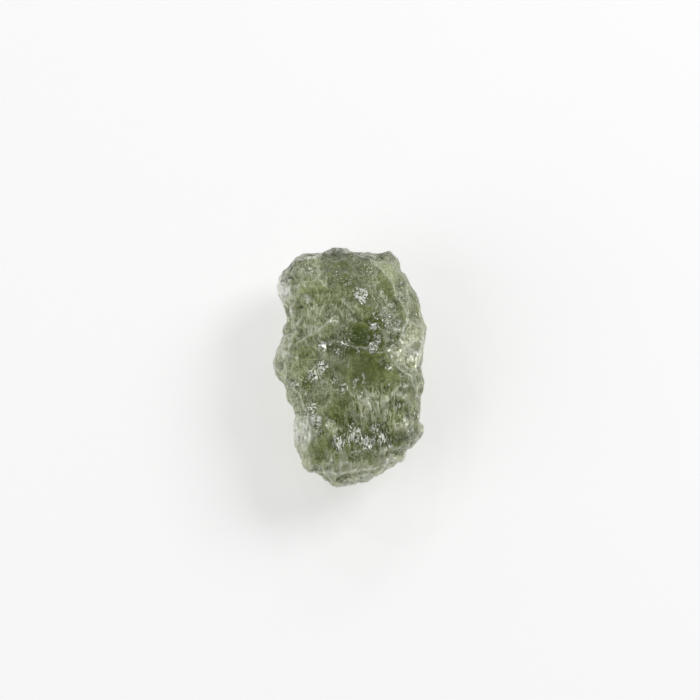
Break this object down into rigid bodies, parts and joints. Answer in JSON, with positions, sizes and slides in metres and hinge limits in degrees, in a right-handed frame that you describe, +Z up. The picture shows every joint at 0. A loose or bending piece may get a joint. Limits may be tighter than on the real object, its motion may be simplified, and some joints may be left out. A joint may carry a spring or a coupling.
{
  "type": "moldavite",
  "caption": "Raw lump of green natural glass, etched all over into scallops, pits and ridges, lying on a small flat spot.",
  "frame": {"origin": "middle of the stone's footprint, on the surface that it lies on", "axes": "+Y along the stone's length, from its blunt tapered end towards the end with the boss; +Z up, out of the broad face"},
  "size_m": [0.0114, 0.0186, 0.0081],
  "materials": {
    "moldavite_glass": "see-through olive green natural glass, 2.35 g/cm3, with a finely pitted, half glossy etched skin"
  },
  "bodies": {
    "root": {"moldavite": "moldavite_glass"}
  },
  "joints": []
}
